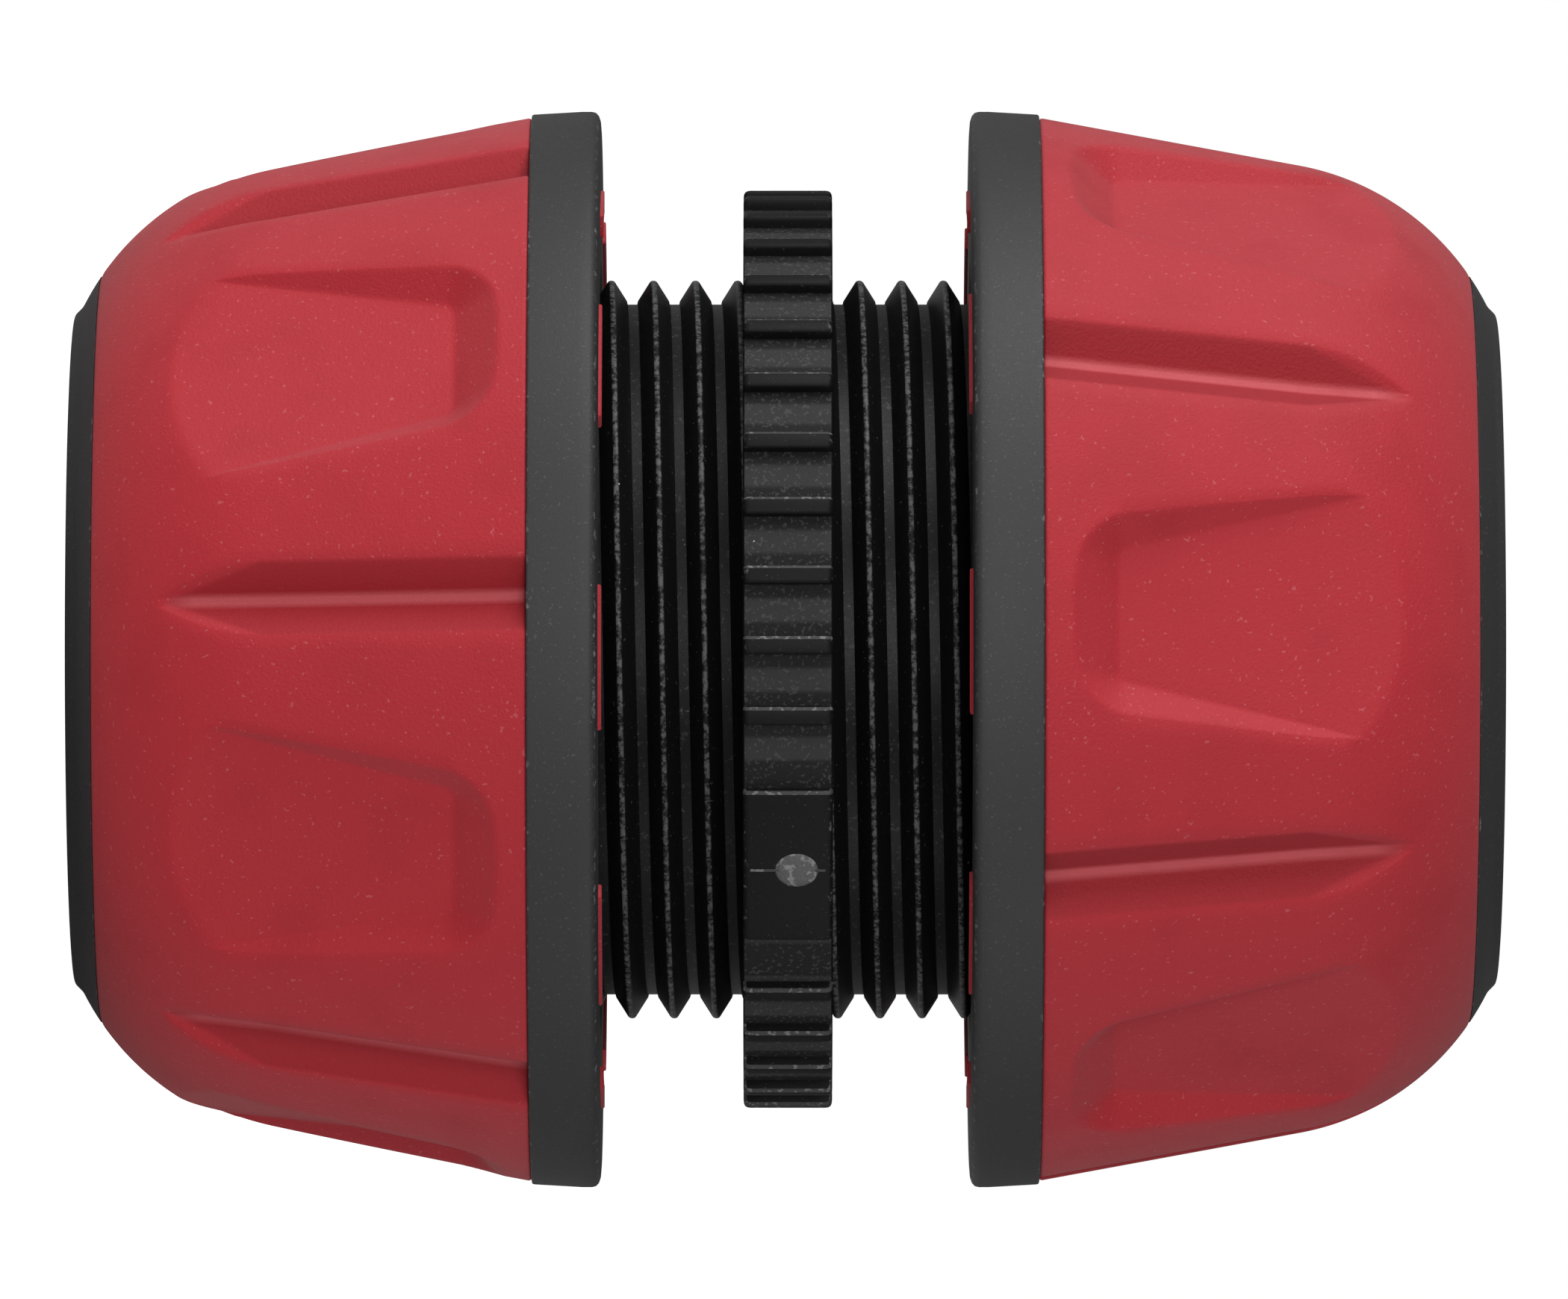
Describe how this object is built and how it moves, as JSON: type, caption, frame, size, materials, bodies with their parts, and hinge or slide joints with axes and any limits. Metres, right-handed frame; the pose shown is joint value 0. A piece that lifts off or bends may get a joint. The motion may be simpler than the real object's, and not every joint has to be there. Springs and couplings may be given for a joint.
{
  "type": "hose connector",
  "caption": "Straight repair coupling for garden hose: a double-threaded centre body with a toothed ring, and gripped clamping nuts that close slotted collets on the hose ends.",
  "frame": {"origin": "centre of the lower nut's end face, on which the coupling stands", "axes": "+Z along the coupling's axis, from the lower nut to the upper nut"},
  "size_m": [0.045, 0.045, 0.0594],
  "materials": {
    "black_body": "semi-matt moulded black plastic",
    "black_nut": "finely textured moulded black plastic",
    "red_grip": "matt overmoulded red soft grip",
    "pale_collet": "natural pale grey moulded plastic"
  },
  "bodies": {
    "connector": {"connector_body": "black_body"},
    "lower_clamp": {"lower_collet": "pale_collet"},
    "lower_nut": {"lower_nut_core": "black_nut", "lower_grip_sleeve": "red_grip"},
    "upper_clamp": {"upper_collet": "pale_collet"},
    "upper_nut": {"upper_nut_core": "black_nut", "upper_grip_sleeve": "red_grip"}
  },
  "joints": [
    {"name": "lower_clamp_slide", "type": "slide", "parent": "connector", "child": "lower_clamp", "axis": [0, 0, -1], "range_m": [-0.00537, 0.00618]},
    {"name": "lower_nut_turn", "type": "hinge", "parent": "lower_clamp", "child": "lower_nut", "pos_m": [0, 0, 0], "axis": [0, 0, -1], "range_deg": [-1094, 1260]},
    {"name": "upper_clamp_slide", "type": "slide", "parent": "connector", "child": "upper_clamp", "axis": [0, 0, 1], "range_m": [-0.00517, 0.00618]},
    {"name": "upper_nut_turn", "type": "hinge", "parent": "upper_clamp", "child": "upper_nut", "pos_m": [0, 0, 0.0594], "axis": [0, 0, 1], "range_deg": [-1053, 1260]}
  ],
  "couplings": [
    {"joint": "lower_clamp_slide", "follows": "lower_nut_turn", "m_per_rad": 0.00028011},
    {"joint": "upper_clamp_slide", "follows": "upper_nut_turn", "m_per_rad": 0.00028011}
  ]
}
